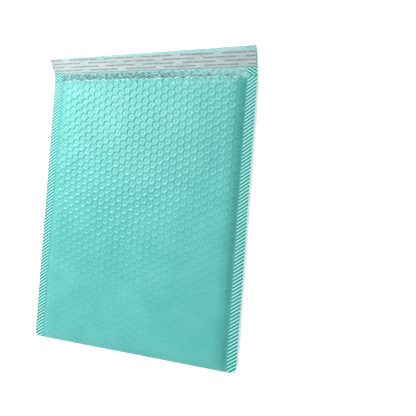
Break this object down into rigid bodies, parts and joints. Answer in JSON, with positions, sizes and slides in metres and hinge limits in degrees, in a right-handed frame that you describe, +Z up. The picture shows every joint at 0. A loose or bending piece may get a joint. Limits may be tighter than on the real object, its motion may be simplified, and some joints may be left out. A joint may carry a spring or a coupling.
{
  "type": "bubble mailer",
  "caption": "Padded bubble-film mailing bag, folded at the bottom and welded down both sides, with an open mouth and a closing flap that carries adhesive under a printed release liner.",
  "frame": {"origin": "centre of the bounding box, on the table under the mailer lying on its back", "axes": "+X across the mailer towards the side on the right of the picture, +Y from the bottom fold to the flap, +Z up from the table, out of the front panel"},
  "size_m": [0.2922, 0.388, 0.011],
  "materials": {
    "pouch_film": "pearly teal polyethylene film, semi-gloss",
    "adhesive": "clear to cream pressure-sensitive hot melt",
    "liner": "pale translucent release film with grey printed dashes"
  },
  "bodies": {
    "root": {"mailer_pouch": "pouch_film", "adhesive_strip": "adhesive", "release_liner": "liner"}
  },
  "joints": []
}
